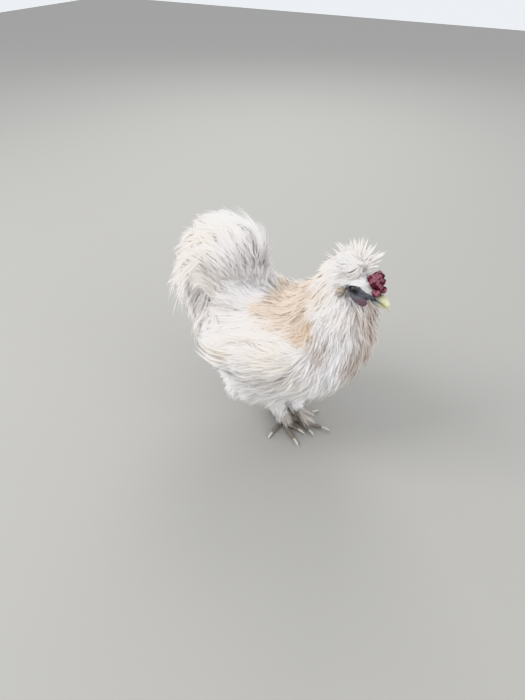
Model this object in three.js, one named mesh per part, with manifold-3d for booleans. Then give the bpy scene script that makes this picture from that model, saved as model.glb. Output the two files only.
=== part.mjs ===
// A silkie chicken, life size, standing still with its head turned a little to its right.
// Millimetres, +Z up, +X the way the bird faces, +Y its left side, soles at z = 0.

import * as THREE from 'three';
import { mergeVertices } from 'three/addons/utils/BufferGeometryUtils.js';
import Module from 'manifold-3d';

const wasm = await Module();
wasm.setup();

// Driving dimensions
const gap = 0.3;
const weld = 1e-4;
const room = { width: 1000, height: 600 };
const rightSide = -1;
const leftSide = 1;

const body = { back: 234, belly: 67, halfWidth: 93, breastX: 131, rumpX: -146 };
const tail = { x: -96, y: 3, z: 261, reach: 54, halfWidth: 47, locks: 9 };
const headPlace = { x: 113, y: -27, z: 295, yaw: -15.5, pitch: -2.5 };
const skull = { halfWidth: 13.6, halfHeight: 16 };
const eyeball = { radius: 5.6, y: 10.8 };
const crestSize = { halfWidth: 29, halfHeight: 20, spikes: 7 };
const wing = { halfHeight: 32, thickness: 13, quills: 4 };
const shank = { hockZ: 86, hubZ: 11, topRadius: 17, lowRadius: 8 };
const feet = {
  right: { side: rightSide, x: 4, y: -11, heading: -36, fanTurn: 30, fanReach: 12 },
  left: { side: leftSide, x: 21.5, y: 4.5, heading: 3, fanTurn: 6, fanReach: 26 },
};
const toe = { radius: 4.1, height: 3.4, clawLength: 14 };

const degrees = Math.PI / 180;
const group = new THREE.Group();

function vec(x, y, z) {
  return new THREE.Vector3(x, y, z);
}

// A value along a row of evenly spaced values, smoothly blended
function along(values, t) {
  const last = values.length - 1;
  const place = THREE.MathUtils.clamp(t, 0, 1) * last;
  const step = Math.min(Math.floor(place), last - 1);
  return THREE.MathUtils.lerp(values[step], values[step + 1], THREE.MathUtils.smoothstep(place - step, 0, 1));
}

// A closed rounded mass whose poles are the ends of a bent centre line.
// Width and height are half sizes along that line, and ruffle raises lengthwise locks on it.
function mass({ path, width, height, around = 20, rings = 12, blunt = 0.8, across = vec(0, 1, 0), ruffle }) {
  const line = new THREE.CatmullRomCurve3(path);
  const shape = new THREE.SphereGeometry(1, around, rings);
  shape.deleteAttribute('normal');
  shape.deleteAttribute('uv');
  const closed = mergeVertices(shape, weld);
  const place = closed.getAttribute('position');
  for (let i = 0; i < place.count; i += 1) {
    const pole = THREE.MathUtils.clamp(place.getY(i), -1, 1);
    const t = (1 - pole) / 2;
    const turn = Math.atan2(place.getZ(i), place.getX(i));
    const round = Math.pow(Math.max(1 - pole * pole, 0), blunt / 2);
    const centre = line.getPoint(t);
    const ahead = line.getTangent(t);
    const side = across.clone().addScaledVector(ahead, -across.dot(ahead)).normalize();
    const up = ahead.clone().cross(side);
    const lift = ruffle ? 1 + ruffle.depth * t * Math.cos(ruffle.count * turn + ruffle.twist * t) : 1;
    centre.addScaledVector(side, Math.cos(turn) * round * along(width, t) * lift);
    centre.addScaledVector(up, Math.sin(turn) * round * along(height, t) * lift);
    place.setXYZ(i, centre.x, centre.y, centre.z);
  }
  return toSolid(closed);
}

function toSolid(geometry) {
  const vertProperties = new Float32Array(geometry.getAttribute('position').array);
  const triVerts = new Uint32Array(geometry.getIndex().array);
  const solid = new wasm.Manifold(new wasm.Mesh({ numProp: 3, vertProperties, triVerts }));
  if (solid.volume() > 0) return solid;
  for (let i = 0; i < triVerts.length; i += 3) {
    [triVerts[i], triVerts[i + 1]] = [triVerts[i + 1], triVerts[i]];
  }
  return new wasm.Manifold(new wasm.Mesh({ numProp: 3, vertProperties, triVerts }));
}

function toGeometry(solid) {
  const mesh = solid.getMesh();
  const geometry = new THREE.BufferGeometry();
  geometry.setAttribute('position', new THREE.BufferAttribute(new Float32Array(mesh.vertProperties), 3));
  geometry.setIndex(new THREE.BufferAttribute(new Uint32Array(mesh.triVerts), 1));
  return mergeVertices(geometry, weld);
}

// The same solid pushed outwards by the gap that neighbours keep
function swollen(solid) {
  const geometry = toGeometry(solid);
  geometry.computeVertexNormals();
  const place = geometry.getAttribute('position');
  const normal = geometry.getAttribute('normal');
  for (let i = 0; i < place.count; i += 1) {
    place.setXYZ(
      i,
      place.getX(i) + gap * normal.getX(i),
      place.getY(i) + gap * normal.getY(i),
      place.getZ(i) + gap * normal.getZ(i),
    );
  }
  return toSolid(geometry);
}

function joined(...solids) {
  return solids.reduce((whole, next) => whole.add(next));
}

// What is left of a solid beside its neighbours, its largest piece only
function beside(solid, ...neighbours) {
  const cut = neighbours.reduce((rest, next) => rest.subtract(swollen(next)), solid);
  const pieces = cut.decompose();
  return pieces.reduce((best, next) => (next.volume() > best.volume() ? next : best));
}

// Everything above the floor, so that soles are flat
function onFloor(solid) {
  const air = new THREE.BoxGeometry(room.width, room.width, room.height);
  air.translate(0, 0, room.height / 2);
  air.deleteAttribute('normal');
  air.deleteAttribute('uv');
  return solid.intersect(toSolid(mergeVertices(air, weld)));
}

function finish(color, roughness) {
  return { color, roughness, metalness: 0 };
}

const plumage = finish(0xf1ece2, 0.95);
const slateSkin = finish(0x4c525c, 0.7);
const mulberry = finish(0x6e3038, 0.65);

function add(name, solid, look) {
  const mesh = new THREE.Mesh(toGeometry(solid), new THREE.MeshStandardMaterial(look));
  mesh.name = name;
  group.add(mesh);
}

function sideName(side) {
  return side === rightSide ? 'right' : 'left';
}

// Trunk: a deep round body, fuller at the breast, with loose fluff under the vent
function makeTrunk() {
  const middle = (body.back + body.belly) / 2;
  const half = (body.back - body.belly) / 2;
  return mass({
    path: [
      vec(body.breastX, 0, middle + 62),
      vec(66, 0, middle + 28),
      vec(-2, 0, middle),
      vec(-72, 0, middle - 7),
      vec(body.rumpX, 0, middle - 16),
    ],
    width: [60, 90, body.halfWidth, 86, 58],
    height: [52, half - 5, half, 77, 50],
    around: 24,
    rings: 14,
    blunt: 0.85,
    ruffle: { count: 8, depth: 0.035, twist: 4 },
  });
}

// A pointed lock of feathers that grows out of a mass
function lock(path, radius, tip = 0.25, flat = 0.7) {
  return mass({
    path,
    width: [radius, radius * 0.95, radius * 0.6, radius * tip],
    height: [radius * flat, radius * flat * 0.9, radius * flat * 0.6, radius * tip],
    around: 5,
    rings: 5,
    blunt: 0.7,
  });
}

// Tail: a ball of soft feathers over the rump that falls away behind, with pointed locks round it
function makeTail() {
  const root = mass({
    path: [vec(-44, 1, 202), vec(-86, 2, 226), vec(-134, 1, 206)],
    width: [42, 52, 48],
    height: [30, 46, 46],
    around: 12,
    rings: 7,
  });
  const ball = mass({
    path: [vec(-50, tail.y, 314), vec(-79, tail.y, 282), vec(-123, tail.y, 230), vec(-162, -2, 158)],
    width: [32, tail.halfWidth, tail.halfWidth, 30],
    height: [30, tail.reach - 1, tail.reach, 30],
    around: 18,
    rings: 12,
    ruffle: { count: 8, depth: 0.09, twist: 3 },
  });
  const locks = [];
  for (let i = 0; i < tail.locks; i += 1) {
    const share = i / (tail.locks - 1);
    const turn = THREE.MathUtils.lerp(62, 196, share) * degrees;
    const out = vec(Math.cos(turn), 0, Math.sin(turn));
    const bend = vec(-Math.sin(turn), 0, Math.cos(turn));
    const sink = 70 * share * share;
    const centre = vec(tail.x - 0.62 * sink, tail.y + 18 * Math.sin(i * 2.4), tail.z - sink);
    const base = centre.clone().addScaledVector(out, tail.reach * 0.6);
    const middle = centre.clone().addScaledVector(out, tail.reach * 1.02).addScaledVector(bend, 8);
    const tip = centre.clone().addScaledVector(out, tail.reach * 1.16).addScaledVector(bend, 30);
    locks.push(lock([base, middle, tip], 13));
  }
  return joined(root, ball, ...locks);
}

// Saddle: the cushion of feathers that fills the dip between back and tail
function makeSaddle() {
  return mass({
    path: [vec(-10, -2, 198), vec(-36, 0, 210), vec(-64, 2, 218)],
    width: [40, 46, 48],
    height: [20, 30, 30],
    around: 14,
    rings: 8,
  });
}

// Neck: the hackle, a cape that spreads from behind the cheeks over the shoulders
function makeNeck() {
  return mass({
    path: [vec(75, -20, 312), vec(78, -15, 282), vec(78, -8, 244), vec(58, 0, 194)],
    width: [20, 30, 57, 76],
    height: [22, 31, 58, 70],
    around: 20,
    rings: 11,
    blunt: 0.7,
    ruffle: { count: 8, depth: 0.06, twist: 2 },
  });
}

// Places on the head are given ahead of, left of and above the point between the eyes
function onHead(ahead, left, above) {
  const turned = new THREE.Euler(0, -headPlace.pitch * degrees, headPlace.yaw * degrees, 'ZYX');
  return vec(ahead, left, above).applyEuler(turned).add(vec(headPlace.x, headPlace.y, headPlace.z));
}

const headLeft = onHead(0, 1, 0).sub(onHead(0, 0, 0));

function headMass(shape) {
  return mass({ ...shape, across: headLeft, path: shape.path.map((p) => onHead(...p)) });
}

function makeHead() {
  return headMass({
    path: [[-28, 0, -8], [-10, 0, 1], [12, 0, -1], [28, 0, -5]],
    width: [14, skull.halfWidth, 12.4, 7.5],
    height: [17, skull.halfHeight, 13.5, 7.5],
    around: 16,
    rings: 10,
  });
}

function makeCrest() {
  const dome = headMass({
    path: [[-38, 0, 13], [-15, 0, 27], [7, 0, 28], [19, 0, 24]],
    width: [25, crestSize.halfWidth, 26, 12],
    height: [22, crestSize.halfHeight, 17, 9],
    around: 14,
    rings: 7,
    ruffle: { count: 6, depth: 0.06, twist: 2 },
  });
  const spikes = [];
  for (let i = 0; i < crestSize.spikes; i += 1) {
    const share = i / (crestSize.spikes - 1);
    const spread = THREE.MathUtils.lerp(-1, 1, share);
    const rise = Math.cos(spread * 70 * degrees);
    const path = [
      onHead(2, 14 * spread, 16 + 10 * rise),
      onHead(-18, 22 * spread, 24 + 18 * rise),
      onHead(-40 - 6 * rise, 27 * spread, 24 + 24 * rise),
    ];
    spikes.push(lock(path, 6, 0.2));
  }
  return joined(dome, ...spikes);
}

// Comb: a round walnut-like cushion of low lumps on the forehead, down to the bill
function makeComb() {
  const core = headMass({
    path: [[9, 0, 24], [20, 0, 18], [28, 0, 3]],
    width: [9, 10.5, 7],
    height: [6, 7.5, 5.5],
    around: 10,
    rings: 6,
  });
  const lumps = [];
  const rows = 4;
  for (let row = 0; row < rows; row += 1) {
    const share = row / (rows - 1);
    for (const left of [-5.6, 4.8]) {
      const size = 5.4 - 1.6 * Math.abs(share - 0.4) + 0.5 * Math.sin(7 * share + left);
      const ahead = THREE.MathUtils.lerp(15, 28.5, share) + 0.2 * left;
      const above = THREE.MathUtils.lerp(24, 4.5, share) + 3.2 * Math.sin(Math.PI * share);
      const path = [[ahead - size, left, above], [ahead, left, above + 0.4], [ahead + size, left, above]];
      const sizes = [size, size, size];
      lumps.push(headMass({ path, width: sizes, height: sizes, around: 6, rings: 4 }));
    }
  }
  return joined(core, ...lumps);
}

function makeUpperBill() {
  return headMass({
    path: [[22, 0, -4], [33, 0, -3.5], [41, 0, -7], [45, 0, -16]],
    width: [6.6, 5.6, 3.8, 1],
    height: [5, 4.6, 3.6, 1.2],
    around: 10,
    rings: 8,
    blunt: 0.7,
  });
}

function makeLowerBill() {
  return headMass({
    path: [[18, 0, -10], [30, 0, -11.5], [40.5, 0, -13]],
    width: [6, 5, 1.6],
    height: [4, 3.2, 1],
    around: 10,
    rings: 6,
    blunt: 0.7,
  });
}

function makeEye(side) {
  const r = eyeball.radius;
  const y = side * eyeball.y;
  return headMass({
    path: [[-r, y, 0], [0, y, 0], [r, y, 0]],
    width: [r, r, r],
    height: [r, r, r],
    around: 12,
    rings: 6,
    blunt: 1,
  });
}

function makeEarlobe(side) {
  return headMass({
    path: [[-15, side * 13, -3], [-16.5, side * 15.5, -8], [-17, side * 15, -16]],
    width: [3, 4.4, 2.2],
    height: [4.2, 5.6, 3],
    around: 8,
    rings: 6,
  });
}

function makeWattle(side) {
  return headMass({
    path: [[11, side * 9.5, -8], [12.5, side * 10.6, -13], [12, side * 10, -19]],
    width: [3, 3.4, 2.4],
    height: [6, 8, 5.5],
    around: 8,
    rings: 6,
  });
}

// Wing: folded along the side, its quills ending in a ragged tip beside the rump
function makeWing(side) {
  const at = (x, y, z) => vec(x, side * y, z);
  const fold = mass({
    path: [at(74, 62, 198), at(28, 87, 181), at(-30, 88, 167), at(-80, 76, 163)],
    width: [12, wing.thickness + 1, wing.thickness, 9],
    height: [28, wing.halfHeight + 3, wing.halfHeight, 22],
    around: 10,
    rings: 7,
    ruffle: { count: 5, depth: 0.05, twist: 2 },
  });
  const quills = [];
  for (let i = 0; i < wing.quills; i += 1) {
    const drop = 8 * i;
    const path = [at(-36, 90, 173 - drop), at(-62, 87, 169 - drop), at(-88 + 6 * i, 78, 172 - drop)];
    quills.push(lock(path, 6.5, 0.3, 1));
  }
  return joined(fold, ...quills);
}

// Thigh: loose fluff that narrows towards the hock
function makeThigh(foot) {
  const s = foot.side;
  return mass({
    path: [vec(-6, s * 48, 138), vec(-24, s * 44, 104), vec(-16, s * 25.5, 56)],
    width: [38, 39, 20],
    height: [52, 57, 32],
    around: 15,
    rings: 10,
    ruffle: { count: 5, depth: 0.08, twist: 2 },
  });
}

// Shank: feathered down its outer side, with a fan of stiff feathers over the outer toe
function makeShank(foot) {
  const s = foot.side;
  const leg = mass({
    path: [
      vec(foot.x - 10, foot.y + s * 8, shank.hockZ),
      vec(foot.x - 5, foot.y + s * 5, 50),
      vec(foot.x - 1, foot.y + s * 2.5, shank.hubZ + 3),
    ],
    width: [shank.topRadius, 14, shank.lowRadius],
    height: [shank.topRadius, 14, shank.lowRadius],
    around: 10,
    rings: 6,
    ruffle: { count: 4, depth: 0.1, twist: 1 },
  });
  const fan = [];
  for (const spread of [-20, 0, 20]) {
    const out = (foot.heading + s * (foot.fanTurn + spread)) * degrees;
    const spot = (reach, z) => vec(foot.x + reach * Math.cos(out), foot.y + reach * Math.sin(out), z);
    const path = [spot(3, 28), spot(10 + foot.fanReach * 0.4, 19), spot(10 + foot.fanReach, 10)];
    fan.push(lock(path, 4.6, 0.3, 0.6));
  }
  return joined(leg, ...fan);
}

function makeHub(foot) {
  return onFloor(mass({
    path: [vec(foot.x - 9, foot.y, 6.2), vec(foot.x, foot.y, 6.6), vec(foot.x + 9, foot.y, 6)],
    width: [7.5, 8.6, 7.5],
    height: [6.4, 7.4, 6.2],
    around: 10,
    rings: 6,
  }));
}

// The five toes: outward turn from the foot's heading, length, rise of the tip, and thickness
const toes = {
  middle: { turn: 0, length: 46, lift: 0, thick: 1 },
  inner: { turn: -27, length: 34, lift: 0, thick: 0.9 },
  outer: { turn: 54, length: 32, lift: 0, thick: 0.9 },
  hind: { turn: -190, length: 26, lift: 0, thick: 0.85 },
  fifth: { turn: -178, length: 15, lift: 19, thick: 0.7 },
};

function toeSpot(foot, kind, out, z) {
  const turn = (foot.heading + foot.side * kind.turn) * degrees;
  return vec(foot.x + out * Math.cos(turn), foot.y + out * Math.sin(turn), z);
}

function toeAcross(foot, kind) {
  return toeSpot(foot, kind, 1, 0).sub(toeSpot(foot, kind, 0, 0)).cross(vec(0, 0, -1));
}

// A toe swells at its joints, and its underside is cut flat by the floor
function makeToe(foot, kind) {
  const r = toe.radius * kind.thick;
  const h = toe.height * kind.thick;
  const low = h * 0.86;
  const start = 4;
  const mid = (start + kind.length) / 2;
  return onFloor(mass({
    path: [
      toeSpot(foot, kind, start, low + (kind.lift ? 7 : 0.6)),
      toeSpot(foot, kind, mid, low + kind.lift * 0.62),
      toeSpot(foot, kind, kind.length, low + kind.lift),
    ],
    width: [1.1, 0.92, 1.04, 0.9, 0.98, 0.8].map((share) => share * r),
    height: [1.1, 0.94, 1.06, 0.92, 0.98, 0.8].map((share) => share * h),
    across: toeAcross(foot, kind),
    around: 6,
    rings: 6,
    blunt: 0.6,
  }));
}

// A claw arches forward from the toe and rests on its point
function makeClaw(foot, kind) {
  const far = kind.length;
  const reach = toe.clawLength * kind.thick;
  const z = kind.lift + toe.height * kind.thick;
  return onFloor(mass({
    path: [
      toeSpot(foot, kind, far - 3.4, z + 0.4),
      toeSpot(foot, kind, far + reach * 0.5, z + 0.6),
      toeSpot(foot, kind, far + reach, kind.lift + 0.4),
    ],
    width: [2.5, 2.4, 1.8, 0.7],
    height: [2.5, 2.3, 1.7, 0.8],
    across: toeAcross(foot, kind),
    around: 4,
    rings: 4,
    blunt: 0.7,
  }));
}

// Whole shapes first. Each part is then what is left beside those that it grows from.
const whole = {
  trunk: makeTrunk(),
  neck: makeNeck(),
  head: makeHead(),
  crest: makeCrest(),
  tail: makeTail(),
  comb: makeComb(),
  upperBill: makeUpperBill(),
  lowerBill: makeLowerBill(),
};

// Head and what sits on it
const eyes = [];
const hanging = [];
for (const side of [rightSide, leftSide]) {
  const eye = makeEye(side);
  const earlobe = makeEarlobe(side);
  const wattle = makeWattle(side);
  eyes.push(eye);
  hanging.push(earlobe, wattle);
  add(`eye_${sideName(side)}`, eye, finish(0x0c0a0a, 0.1));
  add(`earlobe_${sideName(side)}`, beside(earlobe, whole.head), finish(0xb99a86, 0.8));
  add(`wattle_${sideName(side)}`, beside(wattle, whole.head, whole.lowerBill), mulberry);
}
add('head', beside(whole.head, ...eyes), slateSkin);
add('bill_upper', beside(whole.upperBill, whole.head), finish(0xa8a468, 0.45));
add('bill_lower', beside(whole.lowerBill, whole.head, whole.upperBill), finish(0x8f8d5c, 0.5));
add('comb', beside(whole.comb, whole.head, whole.upperBill, whole.crest), mulberry);
add('crest', beside(whole.crest, whole.head, whole.neck, ...eyes, ...hanging), plumage);

// Body
add('neck', beside(whole.neck, whole.trunk, whole.head, ...eyes, ...hanging), finish(0xeadfca, 0.95));
add('trunk', whole.trunk, plumage);
add('tail', beside(whole.tail, whole.trunk), plumage);
add('saddle', beside(makeSaddle(), whole.trunk, whole.tail, whole.neck), plumage);
for (const side of [rightSide, leftSide]) {
  const folded = beside(makeWing(side), whole.trunk, whole.neck, whole.tail);
  add(`wing_${sideName(side)}`, folded, plumage);
}

// Legs and feet
for (const foot of Object.values(feet)) {
  const name = sideName(foot.side);
  const shankWhole = makeShank(foot);
  const hubWhole = makeHub(foot);
  add(`thigh_${name}`, beside(makeThigh(foot), whole.trunk, shankWhole), plumage);
  add(`shank_${name}`, beside(shankWhole, whole.trunk), plumage);
  add(`foot_${name}`, beside(hubWhole, shankWhole), slateSkin);
  const made = [hubWhole, shankWhole];
  for (const [kindName, kind] of Object.entries(toes)) {
    const toeWhole = makeToe(foot, kind);
    add(`toe_${kindName}_${name}`, beside(toeWhole, ...made), slateSkin);
    add(`claw_${kindName}_${name}`, beside(makeClaw(foot, kind), toeWhole), finish(0xd9cdb4, 0.5));
    made.push(toeWhole);
  }
}

// The origin lies on the floor under the middle of the whole outline
const outline = new THREE.Box3().setFromObject(group);
const middle = outline.getCenter(vec(0, 0, 0));
group.position.set(-middle.x, -middle.y, 0);

export default group;
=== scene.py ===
import itertools
import math
import time

import bpy
import numpy as np
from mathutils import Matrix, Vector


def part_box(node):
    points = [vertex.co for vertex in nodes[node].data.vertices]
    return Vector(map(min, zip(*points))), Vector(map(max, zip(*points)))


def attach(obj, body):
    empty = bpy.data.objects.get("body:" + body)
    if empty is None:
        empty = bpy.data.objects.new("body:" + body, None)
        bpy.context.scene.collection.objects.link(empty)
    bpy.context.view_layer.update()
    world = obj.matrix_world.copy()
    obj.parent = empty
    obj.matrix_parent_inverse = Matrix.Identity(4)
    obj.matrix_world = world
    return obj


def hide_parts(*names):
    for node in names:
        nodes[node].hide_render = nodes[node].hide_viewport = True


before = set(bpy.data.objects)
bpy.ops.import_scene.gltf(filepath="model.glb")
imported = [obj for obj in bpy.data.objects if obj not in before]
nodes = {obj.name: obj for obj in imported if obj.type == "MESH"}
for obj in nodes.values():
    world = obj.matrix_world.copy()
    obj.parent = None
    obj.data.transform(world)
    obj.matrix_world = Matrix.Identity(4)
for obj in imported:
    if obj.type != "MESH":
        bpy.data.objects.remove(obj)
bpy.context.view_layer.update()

import openvdb
from mathutils import Vector
from mathutils.bvhtree import BVHTree

started = time.time()
rng = np.random.default_rng(11)
mm = 0.001
sides = {"right": -1, "left": 1}


def say(text):
    print(f"{time.time() - started:6.1f} s  {text}", flush=True)


# Arrays and meshes


def unit(v):
    return v / np.maximum(np.linalg.norm(v, axis=-1, keepdims=True), 1e-9)


def ramp(value, start, end):
    t = np.clip((value - start) / (end - start), 0, 1)
    return t * t * (3 - 2 * t)


def dot(a, b):
    return (a * b).sum(axis=-1, keepdims=True)


def hump(*offsets):
    # 1 in the middle, fading to about 0 at an offset of 2
    return np.exp(-sum(off**2 for off in offsets))


def waves(points, size, seed):
    # Smooth noise from about -1 to 1: sines that run in random directions
    picks = np.random.default_rng(seed)
    out = 0
    for _ in range(6):
        way = unit(picks.normal(size=3)) / size * picks.uniform(3, 7)
        out = out + np.sin(points @ way + picks.uniform(0, 7))
    return out / 2.6


def readAll(items, key, width, kind=np.int32):
    out = np.empty(len(items) * width, kind)
    items.foreach_get(key, out)
    return out.reshape(-1, width)


def readPoints(mesh):
    return readAll(mesh.vertices, "co", 3, np.float32).astype(float)


def vertexNormals(points, faces):
    flat = np.cross(points[faces[:, 1]] - points[faces[:, 0]], points[faces[:, 2]] - points[faces[:, 0]])
    out = np.zeros_like(points)
    for k in range(faces.shape[1]):
        np.add.at(out, faces[:, k], flat)
    return unit(out)


def show(obj):
    bpy.context.scene.collection.objects.link(obj)
    return obj


def makeObject(name, points, faces, material):
    # faces is a list of index arrays, one array for each number of corners
    mesh = bpy.data.meshes.new(name)
    mesh.vertices.add(len(points))
    mesh.vertices.foreach_set("co", np.asarray(points, np.float32).ravel())
    corners = np.concatenate([f.ravel() for f in faces]).astype(np.int32)
    sizes = np.concatenate([np.full(len(f), f.shape[1], np.int32) for f in faces])
    mesh.loops.add(len(corners))
    mesh.loops.foreach_set("vertex_index", corners)
    mesh.polygons.add(len(sizes))
    mesh.polygons.foreach_set("loop_start", np.concatenate([[0], np.cumsum(sizes)[:-1]]).astype(np.int32))
    mesh.update(calc_edges=True)
    mesh.shade_smooth()
    mesh.materials.append(material)
    return show(bpy.data.objects.new(name, mesh))


def addPart(name, points, quads, members, material):
    # An object that rides on the model and stands in for some CAD nodes
    part = makeObject(name, points, [quads], material)
    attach(part, "root")
    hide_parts(*members)
    return part


def setAttribute(mesh, name, values, kind="FLOAT"):
    layer = mesh.attributes.new(name, kind, "POINT")
    key = "value" if kind == "FLOAT" else "vector"
    layer.data.foreach_set(key, np.asarray(values, np.float32).ravel())


def solidOf(name, grow=0.0):
    # A CAD node's points and triangles with shared corners, pushed out by grow
    mesh = nodes[name].data
    mesh.calc_loop_triangles()
    corners = readAll(mesh.loop_triangles, "vertices", 3)
    points, shared = np.unique(np.round(readPoints(mesh), 6), axis=0, return_inverse=True)
    faces = shared[corners].reshape(-1, 3)
    return points + grow * vertexNormals(points, faces), faces


# Volumes


class Space:
    # A block of voxels round some CAD nodes, which holds signed distances
    def __init__(self, names, voxel, margin):
        boxes = [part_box(n) for n in names]
        low = np.min([b[0] for b in boxes], axis=0) - margin
        high = np.max([b[1] for b in boxes], axis=0) + margin
        self.voxel = voxel
        self.first = np.floor(low / voxel).astype(int)
        self.shape = tuple(np.ceil(high / voxel).astype(int) - self.first + 1)
        self.corner = tuple(int(v) for v in self.first)
        self.transform = openvdb.createLinearTransform(voxelSize=voxel)

    def distance(self, points, faces, outside, inside):
        shape = {"quads" if faces.shape[1] == 4 else "triangles": faces.astype(np.uint32)}
        grid = openvdb.FloatGrid.createLevelSetFromPolygons(
            points.astype(np.float32),
            transform=self.transform,
            exBandWidth=outside / self.voxel,
            inBandWidth=inside / self.voxel,
            **shape,
        )
        out = np.empty(self.shape, np.float32)
        grid.copyToArray(out, ijk=self.corner)
        return out

    def surface(self, values):
        grid = openvdb.FloatGrid(float(values.max()))
        grid.copyFromArray(np.ascontiguousarray(values, np.float32), ijk=self.corner)
        grid.transform = self.transform
        grid.gridClass = openvdb.GridClass.LEVEL_SET
        points, quads = grid.convertToQuads(0.0)
        return points.astype(float), quads.astype(np.int64)

    def places(self):
        lines = [(self.first[k] + np.arange(self.shape[k])) * self.voxel for k in range(3)]
        return np.stack(np.meshgrid(*lines, indexing="ij"), axis=-1)


def blurred(values, times):
    for _ in range(times):
        for axis in range(3):
            wide = np.pad(values, [(1, 1) if k == axis else (0, 0) for k in range(3)], mode="edge")
            parts = [np.take(wide, range(s, s + values.shape[axis]), axis=axis) for s in range(3)]
            values = (parts[0] + 2 * parts[1] + parts[2]) / 4
    return values


def melted(a, b, width):
    # The union of two distances with a rounded join
    h = np.clip(0.5 + 0.5 * (b - a) / width, 0, 1)
    return b + (a - b) * h - width * h * (1 - h)


class Field:
    # Values of a space read between its voxels
    def __init__(self, space, values):
        self.space = space
        self.values = values

    def at(self, points):
        place = np.clip(points / self.space.voxel - self.space.first, 0, np.array(self.space.shape) - 1.001)
        base = place.astype(int)
        part = place - base
        total = np.zeros(points.shape[:-1])
        for corner in itertools.product((0, 1), repeat=3):
            share = np.prod(np.where(corner, part, 1 - part), axis=-1)
            spot = base + corner
            total += share * self.values[spot[..., 0], spot[..., 1], spot[..., 2]]
        return total

    def slope(self, points):
        ways = np.eye(3) * self.space.voxel
        return unit(np.stack([self.at(points + w) - self.at(points - w) for w in ways], axis=-1))


# Places on the bird, in millimetres from the part's own origin


def middleOf(name):
    low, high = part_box(name)
    return (np.array(low) + np.array(high)) / 2


shift = middleOf("foot_right") - np.array([4, -11, 0]) * mm
shift[2] = 0


def home(points):
    return (points - shift) / mm


def away(points):
    return np.asarray(points, float) * mm + shift


eyeSpots = {name: middleOf("eye_" + name) for name in sides}
headLeft = unit(eyeSpots["left"] - eyeSpots["right"])
headSpot = (eyeSpots["left"] + eyeSpots["right"]) / 2
headAhead = unit(np.cross(headLeft, [0, 0, 1]))
headUp = np.cross(headAhead, headLeft)
headAxes = np.array([headAhead, headLeft, headUp])


def inHead(points):
    # Millimetres ahead of, left of and above the middle between the eyes
    return (points - headSpot) @ headAxes.T / mm


def onHead(ahead, left, above):
    return headSpot + np.array([ahead, left, above]) * mm @ headAxes


# Shaders


def rgb(code):
    parts = [int(code[k:k + 2], 16) / 255 for k in (0, 2, 4)]
    return tuple(c / 12.92 if c <= 0.04045 else ((c + 0.055) / 1.055) ** 2.4 for c in parts) + (1.0,)


def shadesOf(codes):
    return {key: rgb(code) for key, code in codes.items()}


class Wire:
    # A socket that takes part in Python arithmetic through Math nodes
    def __init__(self, shader, socket):
        self.shader = shader
        self.socket = socket

    def math(self, operation, other):
        return self.shader.node("Math", {"operation": operation}, {0: self, 1: other})

    def __add__(self, other):
        return self.math("ADD", other)

    def __sub__(self, other):
        return self.math("SUBTRACT", other)

    def __mul__(self, other):
        return self.math("MULTIPLY", other)

    __radd__ = __add__
    __rmul__ = __mul__

    def clamp(self):
        return self.shader.node("Clamp", {}, {0: self})


class Shader:
    def __init__(self, name):
        self.material = bpy.data.materials.new(name)
        self.material.use_nodes = True
        self.tree = self.material.node_tree
        self.tree.nodes.clear()

    def node(self, kind, settings=None, values=None, output=0):
        made = self.tree.nodes.new("ShaderNode" + kind)
        for key, value in (settings or {}).items():
            if key == "stops":
                setStops(made.color_ramp, value)
            else:
                setattr(made, key, value)
        for key, value in (values or {}).items():
            if isinstance(value, Wire):
                self.tree.links.new(value.socket, made.inputs[key])
            else:
                made.inputs[key].default_value = value
        return Wire(self, made.outputs[output])

    def attribute(self, name, output=2):
        return self.node("Attribute", {"attribute_name": name}, output=output)

    def place(self):
        return self.node("TexCoord", output=3)

    def noise(self, vector, scale, detail):
        values = {"Vector": vector, "Scale": scale, "Detail": detail, "Roughness": 0.55}
        return self.node("TexNoise", {}, values)

    def blend(self, factor, a, b):
        return self.node("Mix", {"data_type": "RGBA"}, {0: factor, 6: a, 7: b}, output=2)

    def tint(self, color, amount):
        # A colour made lighter or darker by a value round 1
        grey = self.node("CombineXYZ", {}, {0: amount, 1: amount, 2: amount})
        return self.node("VectorMath", {"operation": "MULTIPLY"}, {0: color, 1: grey})

    def bump(self, height, strength, distance):
        return self.node("Bump", {}, {"Height": height, "Strength": strength, "Distance": distance})

    def surface(self, **values):
        names = {key.replace("_", " "): value for key, value in values.items()}
        shown = self.node("BsdfPrincipled", {}, names)
        end = self.tree.nodes.new("ShaderNodeOutputMaterial")
        self.tree.links.new(shown.socket, end.inputs["Surface"])
        return self.material


def setStops(colorRamp, stops):
    for k, (spot, color) in enumerate(stops):
        stop = colorRamp.elements[k] if k < 2 else colorRamp.elements.new(spot)
        stop.position = spot
        stop.color = color


# Markings and painted shade, worked out from places on the bird and shared by skin and coat


# The shade colour is painted shade, laid on in patches; the greige colour after it is painted shade on the
# front of the chest and neck, and also a greige stripe down its side
markingsAndShade = {
    "white": "fbf9f8", "cream": "f8eddf", "shade": "d6d3da", "cape": "deccb9",
    "border": "dbbb95", "breastShadeAndStripe": "c0b1a5", "ear": "a8957f",
}

# The bare patch of the face: how far it reaches up and down along the head
barePatch = {
    "ahead": [-14, -11, -7, -2, 3.6, 9, 16, 21.5, 26],
    "top": [-1, 2.5, 5.5, 7.2, 8, 4.5, 1.5, -1, -3],
    "low": [-4, -8.5, -12.5, -15.5, -17, -18, -17, -14, -12],
}


def bareShare(points, edge=1.5):
    ahead, left, above = inHead(points).T
    top = np.interp(ahead, barePatch["ahead"], barePatch["top"])
    low = np.interp(ahead, barePatch["ahead"], barePatch["low"])
    inside = np.minimum.reduce([top - above, above - low, ahead + 14, 32 - ahead, 22 - np.abs(left)])
    return ramp(inside, -edge, edge)
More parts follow.
